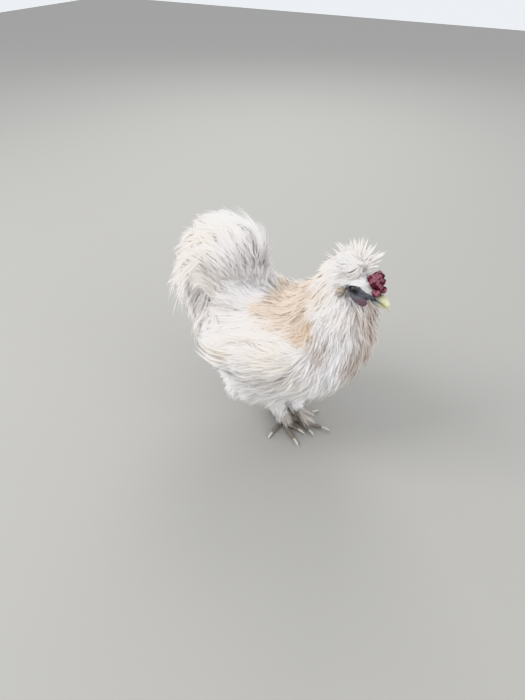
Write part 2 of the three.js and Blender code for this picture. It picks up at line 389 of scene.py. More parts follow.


# Where the marks and the painted chest shade lie, in millimetres and degrees; each pair says from where to
# where one fades
capeShape = {"ahead": 42, "size": (44, 70), "edge": (1.06, 0.9), "low": (208, 224), "high": (300, 284)}
borderShape = {"at": 0.9, "width": 0.12, "aside": (12, 34), "high": (272, 245), "ahead": (86, 60)}
breastShadeShape = {"turn": (42, 20), "ahead": (66, 90), "high": (292, 268), "low": (120, 160)}
stripeShape = {"turn": 63, "width": 7, "low": (188, 205), "high": (252, 238)}


def marksAndShadeAt(points):
    # Shares of each mark and of the painted chest shade, from 0 to 1, at points in the scene
    p = home(points)
    x, y, z = p.T
    rough = 0.06 * waves(p, 30, 3)
    long, wide = capeShape["size"]
    reach = np.hypot((x - capeShape["ahead"]) / long, y / wide) + rough
    above = ramp(z, *capeShape["low"])
    onCape = ramp(reach, *capeShape["edge"]) * above * ramp(z, *capeShape["high"])
    border = hump((reach - borderShape["at"]) / borderShape["width"]) * above
    border = border * ramp(np.abs(y), *borderShape["aside"]) * ramp(z, *borderShape["high"])
    border = border * ramp(x, *borderShape["ahead"])
    # Painted shade on the front of the chest and neck, which turns away from the light, and a greige stripe
    # down the side
    turn = np.degrees(np.abs(np.arctan2(y, x - 60))) + 60 * rough
    front = ramp(turn, *breastShadeShape["turn"]) * ramp(x, *breastShadeShape["ahead"])
    front = front * ramp(z, *breastShadeShape["high"]) * ramp(z, *breastShadeShape["low"])
    stripe = hump((turn - stripeShape["turn"]) / stripeShape["width"])
    stripe = stripe * ramp(z, *stripeShape["low"]) * ramp(z, *stripeShape["high"])
    ahead, left, above = inHead(points).T
    nape = hump((ahead + 28) / 14, (above - 20) / 14)
    cream = np.clip(0.4 + 0.5 * waves(p, 70, 5) + 0.4 * ramp(x, -60, -110) + 0.7 * nape, 0, 1)
    ear = hump((ahead + 16.5) / 7.5, (above + 7) / 7) * ramp(np.abs(left), 7, 10)
    speck = hump((ahead + 13) / 7, (above + 21) / 9) * ramp(np.abs(left), 5, 10)
    ear = np.clip(ear + 0.5 * speck * (1 + waves(p, 5, 6)), 0, 1)
    breastShadeAndStripe = np.clip(front + stripe, 0, 1)
    return {"cape": onCape, "border": border, "breastShadeAndStripe": breastShadeAndStripe, "cream": cream, "ear": ear}


def plumageColor(shader, place):
    shades = shadesOf(markingsAndShade)
    patches = shader.noise(place, 30.0, 3.0)
    color = shader.blend(shader.attribute("cream") * 0.5, shades["white"], shades["cream"])
    # Painted shade: grey-lavender patches laid over the white by noise
    color = shader.blend(((patches - 0.48) * 3.0).clamp() * 0.5, color, shades["shade"])
    # The first of these is painted shade on the front of the chest; cape and border are buff marks
    for key, share in {"breastShadeAndStripe": 0.75, "cape": 0.8, "border": 0.8}.items():
        color = shader.blend(shader.attribute(key) * share, color, shades[key])
    return shader.blend(shader.attribute("ear") * (patches * 3.0 - 0.7).clamp(), color, shades["ear"])


coatFinish = {"roughness": 0.7, "specular": 0.2, "sheen": 0.3, "dust": "b3a08b"}


def coatMaterial(name):
    shader = Shader(name)
    color = plumageColor(shader, shader.attribute("root", 1))
    color = shader.blend(shader.attribute("dust"), color, rgb(coatFinish["dust"]))
    # The tone attribute carries random tone and painted shade at the strand roots
    return shader.surface(
        Base_Color=shader.tint(color, shader.attribute("tone")),
        Roughness=coatFinish["roughness"],
        Specular_IOR_Level=coatFinish["specular"],
        Sheen_Weight=coatFinish["sheen"],
        Sheen_Roughness=0.5,
    )


# Skin


plumedGroups = {  # members, the coat's depth over them, and how wide they melt into the rest
    "trunk": (["trunk"], 0.014, 0),
    "neck": (["neck"], 0.012, 0.016),
    "saddle": (["saddle"], 0.014, 0.016),
    "tail": (["tail"], 0.020, 0.030),
    "crest": (["crest"], 0.015, 0.006),
    "head": (["head"], 0.004, 0.003),
    "wing": (["wing_right", "wing_left"], 0.011, 0.010),
    "thigh": (["thigh_right", "thigh_left"], 0.013, 0.016),
}
plumedNodes = [node for members, _, _ in plumedGroups.values() for node in members]
skinShape = {"voxel": 0.003, "band": 0.030, "inside": 0.036, "fuse": 0.0006, "smooth": 2}


def makeBody():
    # The outline of all plumage as one field, and the skin at the coat's depth inside it
    shape = skinShape
    band = shape["band"]
    space = Space(plumedNodes, shape["voxel"], band)
    parts = {}
    outline = None
    for group, (members, _, join) in plumedGroups.items():
        solids = [space.distance(*solidOf(n, shape["fuse"]), band, band) for n in members]
        parts[group] = np.minimum.reduce(solids)
        outline = melted(outline, parts[group], join) if join else parts[group]
    stacked = np.stack(list(parts.values()))
    whole = space.distance(*space.surface(blurred(outline, shape["smooth"])), band, shape["inside"])
    depths = np.array([group[1] for group in plumedGroups.values()])
    depth = blurred(depths[stacked.argmin(axis=0)].astype(np.float32), 10)
    under = blurred(whole + depth, 1)
    groups = {group: Field(space, values) for group, values in parts.items()}
    return space, Field(space, whole), Field(space, depth), under, groups


bodySpace, body, coatDepth, underBody, groupFields = makeBody()
underPoints, underQuads = bodySpace.surface(underBody)
say(f"skin under the coat: {len(underQuads)} quads")

headShape = {
    "voxel": 0.0005, "fuse": 0.0002,
    "lid": 0.0009, "gap": 0.00012, "opening": (0.0052, 0.0031),
    "wrinkle": 0.0003, "wart": 0.0013, "wartSize": 0.0028, "warts": 80,
    "fold": ((5, 10.4, -12.5), (10, 3.0, 5.0)),  # place and size of the swelling under the eye
    "brow": ((2, 11.6, 7.4), (8, 2.0, 1.8)),
}


def ovalDistance(place, spot, size, side):
    # About the distance to an oval swelling of the head
    off = (place - onHead(spot[0], side * spot[1], spot[2])) @ headAxes.T / (np.array(size) * mm)
    return ((np.linalg.norm(off, axis=-1) - 1) * min(size) * mm).astype(np.float32)


def makeHead():
    # Head, comb, wattles and earlobes as one skin, with lids round the eyes
    shape = headShape
    flesh = ["head", "comb", "wattle_right", "wattle_left", "earlobe_right", "earlobe_left"]
    space = Space(flesh, shape["voxel"], 0.007)
    fields = {n: space.distance(*solidOf(n, shape["fuse"]), 0.007, 0.004) for n in flesh}
    skull = blurred(fields["head"], 4)
    for name in flesh[2:]:
        skull = melted(skull, blurred(fields[name], 3), 0.0016)
    place = space.places()
    for name, side in sides.items():
        for spot, size in (shape["fold"], shape["brow"]):
            skull = melted(skull, ovalDistance(place, spot, size, side), 0.002)
        eye = place - eyeSpots[name]
        far = np.linalg.norm(eye, axis=-1)
        radius = eyeRadius(name)
        hollow = radius + shape["gap"] - far
        shell = np.maximum(far - radius - shape["lid"], hollow)
        ahead, out, up = eye @ headAhead, side * (eye @ headLeft), eye @ headUp
        wide, high = shape["opening"]
        oval = (np.sqrt((ahead / wide) ** 2 + ((up - 0.0004 + 0.06 * ahead) / high) ** 2) - 1) * high
        shell = np.maximum(shell, -np.where(out > 0, oval, 1))
        skull = melted(skull, shell, 0.0012)
        skull = np.maximum(skull, hollow)
    skull = melted(skull, blurred(fields["comb"], 1), 0.0008)
    points, quads = space.surface(skull)
    return Field(space, skull), {n: Field(space, v) for n, v in fields.items()}, points, quads


def eyeRadius(name):
    low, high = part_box("eye_" + name)
    return (high - low).z / 2 - 0.0001


headField, headFields, headPoints, headQuads = makeHead()
combShare = ramp(-headFields["comb"].at(headPoints), -0.0012, -0.0003)
normals = vertexNormals(headPoints, headQuads)
lumps = headPoints[combShare > 0.5]
seeds = lumps[rng.choice(len(lumps), headShape["warts"], replace=False)]
nearest = np.sqrt(((headPoints[:, None] - seeds) ** 2).sum(axis=-1)).min(axis=1)
lump = np.clip(1 - (nearest / headShape["wartSize"]) ** 2, 0, 1)
wart = headShape["wart"] * (lump - 0.7)
crease = headShape["wrinkle"] * (waves(headPoints / mm, 3.0, 8) + waves(headPoints / mm, 1.7, 9))
fromEye = np.minimum(*[np.linalg.norm(headPoints - e, axis=1) for e in eyeSpots.values()])
crease = crease * ramp(fromEye, 0.0062, 0.009)
hanging = np.maximum(*[ramp(-headFields["wattle_" + n].at(headPoints), -0.0012, 0) for n in sides])
crease = crease + hanging * 0.0004 * waves(headPoints / mm, 2.6, 10)
headPoints = headPoints + normals * (wart * combShare + crease * (1 - combShare))[:, None]
say(f"head skin: {len(headQuads)} quads")

footShape = {
    "voxel": 0.0005, "fuse": 0.0002, "legTop": 0.0062, "legLow": 0.0048,
    "scale": 0.0032, "scaleRise": 0.00035,
}
toeNames = ["middle", "inner", "outer", "hind", "fifth"]


def tubeDistance(place, start, end, startRadius, endRadius):
    along = end - start
    t = np.clip(((place - start) @ along) / (along @ along), 0, 1)
    centre = start + t[..., None] * along
    return np.linalg.norm(place - centre, axis=-1) - (startRadius + t * (endRadius - startRadius))


def legEnds(name):
    # The leg's bare core, from the hock inside the thigh down to the foot
    side = sides[name]
    low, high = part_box("foot_" + name)
    foot = np.array([(low.x + high.x) / 2, (low.y + high.y) / 2, 0])
    return foot + np.array([-10, side * 8, 72]) * mm, foot + np.array([-0.5, side * 1, 11]) * mm


def makeFoot(name):
    # Leg, foot and toes as one skin, with a row of scales along each toe and up the leg
    shape = footShape
    flesh = ["foot_" + name] + [f"toe_{t}_{name}" for t in toeNames]
    space = Space(flesh + ["shank_" + name], shape["voxel"], 0.003)
    skin = np.full(space.shape, 0.004, np.float32)
    for node in flesh:
        skin = melted(skin, space.distance(*solidOf(node, shape["fuse"]), 0.004, 0.004), 0.0015)
    top, low = legEnds(name)
    leg = tubeDistance(space.places(), top, low, shape["legTop"], shape["legLow"]).astype(np.float32)
    skin = blurred(melted(skin, leg, 0.003), 3)
    skin = np.maximum(skin, 0.0002 - space.places()[..., 2])
    points, quads = space.surface(skin)
    hub = middleOf("foot_" + name)
    best = np.full(len(points), 9.0)
    run = np.zeros(len(points))
    for t in toeNames:
        tip = middleOf(f"claw_{t}_{name}")
        way = (tip - hub) * [1, 1, 0]
        line = unit(way)
        off = (points - hub) @ line
        aside = np.abs((points - hub) @ np.array([-line[1], line[0], 0]))
        closer = (off > 0) & (aside < best)
        best = np.where(closer, aside, best)
        run = np.where(closer, off, run)
    onLeg = ramp(points[:, 2], 0.012, 0.016)
    run = np.where(onLeg > 0.5, points[:, 2], run)
    saw = (run / shape["scale"]) % 1.0
    facing = vertexNormals(points, quads)
    up = np.where(onLeg > 0.5, 1, ramp(facing[:, 2], -0.1, 0.5))
    rise = shape["scaleRise"] * (saw * ramp(saw, 1.0, 0.8) - 0.4) * up
    floor = points[:, 2] < 0.0008
    points = points + facing * np.where(floor, 0, rise)[:, None]
    return points, quads, ramp(saw, 0.22, 0.0) * up


feet = {name: makeFoot(name) for name in sides}
say("feet: " + ", ".join(str(len(f[1])) for f in feet.values()) + " quads")

skinLook = {
    "slate": "74757a", "slateDark": "4c4d53", "rim": "22232a", "comb": "94616c", "combMottleAndShade": "451e27",
    "wattle": "67444f", "earlobe": "aa9987", "scale": "7d766d", "groove": "48423e",
}


def skinMaterial():
    shader = Shader("skin")
    place = shader.place()
    shades = shadesOf(skinLook)
    fine = shader.noise(place, 900.0, 4.0)
    slate = shader.blend(fine, shades["slate"], shades["slateDark"])
    slate = shader.blend(shader.attribute("rim"), slate, shades["rim"])
    # Painted shade: the comb is darker in the hollows between its lumps; noise mottles it darker too
    comb = shader.blend(shader.attribute("lump") * 1.3, shades["combMottleAndShade"], shades["comb"])
    comb = shader.blend(fine * 0.4, comb, shades["combMottleAndShade"])
    scale = shader.blend(shader.attribute("groove"), shades["scale"], shades["groove"])
    color = shader.blend(shader.attribute("feathered"), slate, plumageColor(shader, place))
    color = shader.blend(shader.attribute("foot"), color, scale)
    color = shader.blend(shader.attribute("comb"), color, comb)
    spots = (shader.noise(place, 650.0, 3.0) * 4.0 - 1.5).clamp()
    color = shader.blend(shader.attribute("wattle") * (0.25 + 0.75 * spots), color, shades["wattle"])
    color = shader.blend(shader.attribute("earlobe"), color, shades["earlobe"])
    pores = shader.noise(place, 1600.0, 5.0)
    return shader.surface(
        Base_Color=color,
        Roughness=0.5 + 0.25 * pores,
        Specular_IOR_Level=0.35,
        Normal=shader.bump(pores, 0.35, 0.0004),
    )


def makeSkin():
    shells = [(underPoints, underQuads), (headPoints, headQuads)] + [f[:2] for f in feet.values()]
    starts = np.cumsum([0] + [len(p) for p, _ in shells])
    points = np.concatenate([p for p, _ in shells])
    faces = np.concatenate([q + start for (_, q), start in zip(shells, starts)])
    flesh = plumedNodes + ["comb"]
    flesh += [f"{part}_{s}" for part in ("wattle", "earlobe", "foot", "shank") for s in sides]
    flesh += [f"toe_{t}_{s}" for t in toeNames for s in sides]
    skin = addPart("skin", points, faces, flesh, skinMaterial())

    def spread(which, values):
        out = np.zeros(len(points))
        out[starts[which]:starts[which + 1]] = values
        return out

    near = {n: ramp(-f.at(headPoints), -0.0012, -0.0002) for n, f in headFields.items()}
    ahead, left, above = inHead(headPoints).T
    fold = hump((ahead - 7) / 9, (above + 14) / 4) * (0.75 + 0.25 * waves(headPoints / mm, 4, 12))
    rim = hump((ahead + 0.5) / 7.5, (above - 0.6 + 0.12 * ahead) / 4.2) * ramp(np.abs(left), 7, 9)
    shares = {
        "comb": spread(1, combShare),
        "lump": spread(1, lump),
        "rim": spread(1, rim),
        "wattle": spread(1, np.maximum.reduce([near["wattle_right"], near["wattle_left"], fold])),
        "earlobe": spread(1, np.maximum(near["earlobe_right"], near["earlobe_left"])),
        "feathered": spread(0, 1 - bareShare(underPoints)) + spread(1, 0.75 * (1 - bareShare(headPoints))),
        "foot": spread(2, 1.0) + spread(3, 1.0),
        "groove": spread(2, feet["right"][2]) + spread(3, feet["left"][2]),
        **marksAndShadeAt(points),
    }
    for key, values in shares.items():
        setAttribute(skin.data, key, values)
    return skin


skin = makeSkin()


# The map that tells each tuft where it grows


def makeUnwrap(source, faces):
    obj = show(source.copy())
    obj.data = source.data.copy()
    lighter = obj.modifiers.new("lighter", "DECIMATE")
    lighter.ratio = faces / len(obj.data.polygons)
    mesh = bpy.data.meshes.new_from_object(obj.evaluated_get(bpy.context.evaluated_depsgraph_get()))
    bpy.data.objects.remove(obj)
    flat = show(bpy.data.objects.new("unwrap", mesh))
    mesh.uv_layers.new(name="OFBake")
    bpy.context.view_layer.objects.active = flat
    for other in bpy.context.selected_objects:
        other.select_set(False)
    flat.select_set(True)
    bpy.ops.object.mode_set(mode="EDIT")
    bpy.ops.mesh.select_all(action="SELECT")
    bpy.ops.uv.smart_project(angle_limit=math.radians(70), island_margin=0.004)
    bpy.ops.object.mode_set(mode="OBJECT")
    mesh.calc_loop_triangles()
    triangles = readAll(mesh.loop_triangles, "vertices", 3)
    loops = readAll(mesh.loop_triangles, "loops", 3)
    places = readAll(mesh.uv_layers[0].uv, "vector", 2, np.float32)[loops]
    points = readPoints(mesh)
    bpy.data.objects.remove(flat)
    return points, triangles, places


mapPoints, mapTriangles, mapPlaces = makeUnwrap(skin, 6000)
mapTree = BVHTree.FromPolygons(mapPoints.tolist(), mapTriangles.tolist())
say(f"unwrap of the skin: {len(mapTriangles)} triangles")


def placeOnMap(points):
    found = [mapTree.find_nearest(p)[:3:2] for p in points.tolist()]
    spots = np.array([f[0] for f in found])
    index = np.array([f[1] for f in found])
    a, b, c = (mapPoints[mapTriangles[index, k]] for k in range(3))
    normal = np.cross(b - a, c - a)
    size = np.maximum(dot(normal, normal), 1e-18)
    u = dot(np.cross(c - b, spots - b), normal) / size
    v = dot(np.cross(a - c, spots - c), normal) / size
    corner = mapPlaces[index]
    return corner[:, 0] * u + corner[:, 1] * v + corner[:, 2] * (1 - u - v)


# Coat


patch = 0.0028  # how wide each tuft is on the map
# What a piece of the coat does unless its own dictionary says otherwise: softness is how far a strand
# takes its shading from the body under it, and wisps is the share of tufts that stand off the coat
plainTuft = {
    "steps": 5, "wander": 0.25, "rise": 1.8, "shortest": 0.7, "thick": 0.5, "roll": 0.6, "softness": 0.7,
    "paintedBrightness": 1.0, "tone": 0.03, "dust": 0.0, "wisps": 0.1, "stand": (2, 6), "slot": "plumage",
}


def combed(roots, field, flow, length, height, look, seed):
    # Guide lines that leave the skin and run with the flow, up to their height over the field's surface
    steps = look["steps"]
    picks = np.random.default_rng(seed)
    start = field.at(roots)
    here = roots.copy()
    lines = [roots]
    turn = look["wander"] * (picks.normal(size=len(roots)) * 0.6 + waves(roots / mm, 38, seed))
    for k in range(1, steps):
        t = k / (steps - 1)
        normal = field.slope(here)
        way = flow(here)
        way = unit(way - dot(way, normal) * normal)
        across = np.cross(normal, way)
        way = unit(way + across * turn[:, None])
        here = here + way * (length / (steps - 1))[:, None]
        want = start + (height - start) * (1 - (1 - t) ** look["rise"])
        here = here + (want - field.at(here))[:, None] * field.slope(here)
        lines.append(here)
    return np.stack(lines, axis=1)


def strandPoints(guides, normals, look, picks):
    # Tapering ribbons round every guide line, their tip last, and the normals that shade them
    tufts, steps = guides.shape[:2]
    count = look["strands"]
    t = np.linspace(0, 1, steps)
    reach = picks.uniform(look["shortest"], 1.0, (tufts, count))
    along = reach[..., None] * t * (steps - 1)
    base = np.minimum(along.astype(int), steps - 2)
    part = (along - base)[..., None]
    row = np.arange(tufts)[:, None, None]
    spine = guides[row, base] * (1 - part) + guides[row, base + 1] * part
    ahead = unit(np.gradient(spine, axis=2))
    out = normals[row, base] * (1 - part) + normals[row, base + 1] * part
    out = unit(out - dot(out, ahead) * ahead)
    across = np.cross(ahead, out)
    one = (tufts, count, 1, 1)
    angle = picks.uniform(0, 2 * np.pi, one)
    far = np.sqrt(picks.uniform(0, 1, one)) * look["spread"]
    t = t[None, None, :, None]
    gather = 1 - look["pinch"] * t ** 1.3
    swirl = look["splay"] * t ** 2 * picks.normal(size=one)
    lift = look["splay"] * 0.6 * t ** 2 * picks.normal(size=one)
    spine = spine + across * (np.cos(angle) * far * gather + swirl)
    spine = spine + out * (np.sin(angle) * far * gather * look["thick"] + lift)
    roll = picks.normal(size=one) * look["roll"]
    flat = across * np.cos(roll) + out * np.sin(roll)
    wide = look["width"] * picks.uniform(0.7, 1.3, one)
    wide = wide * (0.55 + 0.75 * np.sin(np.pi * t) ** 0.7 * (1 - t) ** 0.35) / 2
    soft = look["softness"]
    shade = unit(soft * out + (1 - soft) * np.cross(flat, ahead))
    pairs = np.stack([spine - flat * wide, spine + flat * wide], axis=3)[:, :, :-1]
    pairs = pairs.reshape(tufts * count, 2 * (steps - 1), 3)
    points = np.concatenate([pairs, spine[:, :, -1].reshape(-1, 1, 3)], axis=1)
    shades = np.repeat(shade.reshape(tufts * count, steps, 3), 2, axis=1)[:, :-1]
    return points, shades


def strandMesh(name, guides, normals, look, seed, marks=None):
    # One piece of the coat: every guide line carries a tuft of strands
    look = {**plainTuft, **look}
    picks = np.random.default_rng(seed)
    points, shades = strandPoints(guides, normals, look, picks)
    tufts, steps = guides.shape[:2]
    count, size = look["strands"], points.shape[1]
    start = np.arange(tufts * count)[:, None] * size
    k = np.arange(steps - 2) * 2
    quads = (start + np.stack([k, k + 1, k + 3, k + 2], axis=1).reshape(1, -1)).reshape(-1, 4)
    ends = start + np.array([[size - 3, size - 2, size - 1]])
    obj = makeObject(name, points.reshape(-1, 3), [quads, ends], coat)
    mesh = obj.data
    mesh.normals_split_custom_set_from_vertices(shades.reshape(-1, 3))
    roots = guides[:, 0]
    owner = np.repeat(np.arange(tufts), count * size)
    strand = np.tile(np.repeat(np.arange(count), size), tufts)
    side = np.tile(np.append(np.tile([0, 1], steps - 1), 0.5), tufts * count)
    height = np.tile(np.append(np.repeat(np.linspace(0, 1, steps)[:-1], 2), 1), tufts * count)
    uv = placeOnMap(roots)[owner] + patch * np.stack([(strand + side) / count - 0.5, height - 0.5], axis=1)
    layer = mesh.uv_layers.new(name="OFBake")
    corners = readAll(mesh.loops, "vertex_index", 1)[:, 0]
    layer.uv.foreach_set("vector", uv[corners].astype(np.float32).ravel())
    # Painted shade: the tone is centred on each piece's brightness value, which is below 1 for the face and
    # brow
    tone = np.clip(look["paintedBrightness"] + look["tone"] * picks.normal(size=tufts), 0.6, 1.05)
    setAttribute(mesh, "root", roots[owner], "FLOAT_VECTOR")
    # Painted shade: each strand grows darker towards its root, where the coat shades itself
    setAttribute(mesh, "tone", tone[owner] * (0.93 + 0.07 * ramp(height, 0, 0.4)))
    shares = {**marksAndShadeAt(roots), "dust": np.full(tufts, look["dust"]), **(marks or {})}
    for key, values in shares.items():
        setAttribute(mesh, key, values[owner])
    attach(obj, "root")
    say(f"{name}: {tufts} tufts, {tufts * count * (2 * steps - 3)} triangles")


coat = coatMaterial("coat")
thin = 1.0


def rootsOn(points, quads, mask, count, seed):
    # Random places on a skin, spread evenly over the chosen quads
    picks = np.random.default_rng(seed)
    chosen = np.flatnonzero(mask)
    times = int(np.ceil(count / len(chosen)))
    order = np.concatenate([picks.permutation(chosen) for _ in range(times)])[:count]
    a, b, c, d = (points[quads[order, k]] for k in range(4))
    u, v = picks.uniform(0, 1, (2, count, 1))
    return (a * (1 - u) + b * u) * (1 - v) + (d * (1 - u) + c * u) * v


def growCoat(name, look, points, quads, mask, field, depth, seed):
    look = {**plainTuft, **look}
    count = int(look["tufts"] * thin)
    roots = rootsOn(points, quads, mask, count, seed)
    picks = np.random.default_rng(seed + 100)
    deep = depth(roots)
    top = picks.uniform(*look["top"], count) + 0.1 * waves(roots / mm, 30, seed)
    length = picks.uniform(*look["length"], count) * mm
    height = -deep * (1 - top)
    wisp = picks.uniform(0, 1, count) < look["wisps"]
    height = np.where(wisp, picks.uniform(*look["stand"], count) * mm, height)
    length = np.where(wisp, length * 1.15, length)
    guides = combed(roots, field, look["flow"], length, height, look, seed)
    guides = guides[bareShare(guides.reshape(-1, 3), 1.0).reshape(count, -1).max(axis=1) < 0.5]
    normals = np.stack([field.slope(guides[:, k]) for k in range(guides.shape[1])], axis=1)
    strandMesh(name, guides, normals, look, seed)


quadMiddles = underPoints[underQuads].mean(axis=1)
quadOuter = quadMiddles - body.at(quadMiddles)[:, None] * body.slope(quadMiddles)
groupNames = list(groupFields)
quadGroup = np.stack([groupFields[g].at(quadOuter) for g in groupNames]).argmin(axis=0)
quadHome = home(quadOuter)


def inGroup(*names):
    return np.isin(quadGroup, [groupNames.index(n) for n in names])


def ways(x, y, z, count):
    return np.stack([np.broadcast_to(v, count).astype(float) for v in (x, y, z)], axis=1)


def flowBody(points):
    x, y, z = home(points).T
    front = ramp(x, 25, 105)[:, None]
    low = ramp(z, 134, 84)[:, None]
    back = ways(-1, 0.1 * y / 90, -0.32, len(x))
    down = ways(-0.45, 0.5 * y / 60, -1, len(x))
    return back * (1 - front) + down * front + low * np.array([0, 0, -0.9])


def flowNeck(points):
    return unit(home(points) - np.array([84, -18, 349])) + np.array([-0.3, 0, 0])


def flowCrest(points):
    # Upright on top, swept back over the sides of the head
    ahead, left, above = inHead(points).T
    low = (ramp(above, 34, 14) * ramp(ahead, 26, 12))[:, None]
    burst = unit(points - onHead(12, 0, 6)) + np.array([-0.2, 0, 0])
    swept = unit(ways(-1, 0.35 * np.sign(left), -0.35, len(points))) @ headAxes
    return burst * (1 - low) + swept * low


tailTurn = {"base": (-50, 2, 210), "centre": (-108, 2, 236), "swirl": 0.95}


def flowTail(points):
    p = home(points)
    fan = unit(p - np.array(tailTurn["base"], float))
    off = p - np.array(tailTurn["centre"], float)
    return fan + tailTurn["swirl"] * unit(ways(-off[:, 2], 0, off[:, 0], len(p)))


def flowSaddle(points):
    return ways(-0.75, home(points)[:, 1] / 200, 0.55, len(points))


def flowWing(points):
    return ways(-1, 0, -0.1, len(points))


def flowThigh(points):
    return ways(-0.45, 0.3 * np.sign(home(points)[:, 1]), -1, len(points))


softBody = Field(bodySpace, blurred(body.values, 6))
outerAbove = inHead(quadOuter)[:, 2]


def flowDrape(points):
    # Down beside the comb in front, back and down farther behind
    ahead, left, above = inHead(points).T
    front = ramp(ahead, 2, 20)[:, None]
    back = ways(-1, 0.35 * np.sign(left), -0.55, len(points))
    down = ways(-0.25, 0.5 * np.sign(left), -1, len(points))
    return (back * (1 - front) + down * front) @ headAxes


fluff = {"strands": 12, "top": (0.6, 1.0), "width": 0.0005, "spread": 0.0048, "pinch": 0.25, "splay": 0.004}
pieces = {
    "coatBreast": {
        "where": inGroup("trunk") & (quadHome[:, 0] > 48),
        "flow": flowBody, "tufts": 1800, "length": (30, 46),
    },
    "coatSide": {
        "where": inGroup("trunk") & (quadHome[:, 0] <= 48) & (quadHome[:, 2] > 136),
        "flow": flowBody, "tufts": 2200, "length": (34, 52),
    },
    "coatBelly": {
        "where": inGroup("trunk") & (quadHome[:, 0] <= 48) & (quadHome[:, 2] <= 136),
        "flow": flowBody, "tufts": 1300, "length": (28, 42),
    },
    "coatThighs": {
        "where": inGroup("thigh"),
        "flow": flowThigh, "tufts": 900, "length": (26, 40), "stand": (3, 8),
    },
    "coatHackle": {
        "where": inGroup("neck"), "slot": "hackle",
        "flow": flowNeck, "tufts": 2100, "length": (30, 50), "spread": 0.0036,
    },
    "coatCrest": {
        "where": inGroup("crest", "head"),
        "flow": flowCrest, "tufts": 1350, "length": (16, 32), "width": 0.00042, "spread": 0.0018,
        "top": (0.2, 0.92), "rise": 1.1, "splay": 0.0024, "wisps": 0.0, "wander": 0.5, "tone": 0.05,
    },
    "coatDrape": {
        "where": inGroup("crest", "head") & (outerAbove > 9) & (outerAbove < 40), "field": softBody,
        "flow": flowDrape, "tufts": 1200, "length": (22, 40), "width": 0.00042, "spread": 0.002,
        "top": (0.9, 1.12), "rise": 2.2, "wander": 0.35, "wisps": 0.0, "tone": 0.05, "softness": 0.5,
    },
    "coatTailUpper": {
        "where": inGroup("tail") & (quadHome[:, 2] > 244), "steps": 6,
        "flow": flowTail, "tufts": 1150, "length": (48, 80), "wisps": 0.2, "stand": (3, 11),
    },
    "coatTailLower": {
        "where": inGroup("tail") & (quadHome[:, 2] <= 244), "steps": 6,
        "flow": flowTail, "tufts": 1250, "length": (40, 66), "wisps": 0.2, "stand": (3, 11),
    },
    "coatSaddle": {
        "where": inGroup("saddle"),
        "flow": flowSaddle, "tufts": 500, "length": (28, 44), "wisps": 0.25, "stand": (3, 9),
    },
    "coatWings": {
        "where": inGroup("wing"),
        "flow": flowWing, "tufts": 1500, "length": (34, 54),
    },
}
for number, (name, look) in enumerate(pieces.items()):
    field = look.get("field", body)
    look = {**fluff, **look}
    growCoat(name, look, underPoints, underQuads, look["where"], field, coatDepth.at, 20 + number)


# Face


# Painted shade: the face and brow feathers are coloured darker than the body, against the strong light on the
# head
faceLook = {
    "tufts": 2600, "strands": 6, "steps": 4, "length": (6, 12), "top": (1, 1), "width": 0.00036,
    "softness": 0.3, "spread": 0.0011, "pinch": 0.5, "splay": 0.0014, "wisps": 1.0, "stand": (0.8, 3.6),
    "rise": 1.3, "wander": 0.5, "tone": 0.1, "paintedBrightness": 0.92,
}
browLook = {
    "tufts": 900, "strands": 8, "length": (11, 19), "top": (1, 1), "width": 0.0004,
    "softness": 0.4, "spread": 0.0014, "pinch": 0.5, "splay": 0.002, "wisps": 1.0, "stand": (1.5, 5.5),
    "rise": 1.2, "wander": 0.5, "tone": 0.08, "paintedBrightness": 0.96,
}


def flowFace(points):
    ahead, left, above = inHead(points).T
    way = ways(-1, 0.25 * np.sign(left), -0.15 - 0.9 * ramp(above, -2, -12), len(points))
    return way @ headAxes


def flowBrow(points):
    # Up and back from the forehead, then down behind the eye
    ahead, left, above = inHead(points).T
    rise = 0.5 * ramp(ahead, -2, 16) - 0.4 * ramp(ahead, 2, -14)
    return ways(-1, 0.2 * np.sign(left), rise, len(points)) @ headAxes


def noDepth(points):
    return np.zeros(len(points))


def growFace():
    middle = headPoints[headQuads].mean(axis=1)
    ahead, left, above = inHead(middle).T
    plumed = (bareShare(middle) < 0.3) & (ahead < 25) & (headFields["comb"].at(middle) >= 0.001)
    wattles = np.minimum(*[headFields["wattle_" + n].at(middle) for n in sides])
    cheek = plumed & (wattles >= 0.001)
    brow = plumed & (above > 4)
    look = dict(faceLook, flow=flowFace)
    growCoat("coatFace", look, headPoints, headQuads, cheek, headField, noDepth, 60)
    look = dict(browLook, flow=flowBrow)
    growCoat("coatBrow", look, headPoints, headQuads, brow, headField, noDepth, 61)


growFace()


# Legs and feet feathers


legLook = {
    "tufts": 460, "strands": 10, "length": (14, 26), "top": (0.6, 1.1), "width": 0.00045,
    "softness": 0.4, "spread": 0.0022, "pinch": 0.3, "splay": 0.0034, "wisps": 0.35, "stand": (1, 6),
    "tone": 0.06, "wander": 0.5,
}
fanLook = {
    "strands": 8, "width": 0.0005, "spread": 0.004, "pinch": 0.3, "splay": 0.0025, "dust": 0.5, "tone": 0.12,
}
fans = {"right": (-36, -30, 12), "left": (3, 6, 26)}  # heading, turn from it and reach, as in the solids


def growLeg(name, seed):
    side = sides[name]
    space = Space(["shank_" + name], 0.001, 0.012)
    field = Field(space, blurred(space.distance(*solidOf("shank_" + name), 0.012, 0.016), 3))
    points, quads = feet[name][:2]
    middle = points[quads].mean(axis=1)
    mask = (middle[:, 2] > 0.017) & (middle[:, 2] < 0.074)

    def flow(places):
        return ways(0.12, 0.3 * side, -1, len(places))

    def depth(places):
        return -field.at(places)

    growCoat("coatLeg_" + name, dict(legLook, flow=flow), points, quads, mask, field, depth, seed)


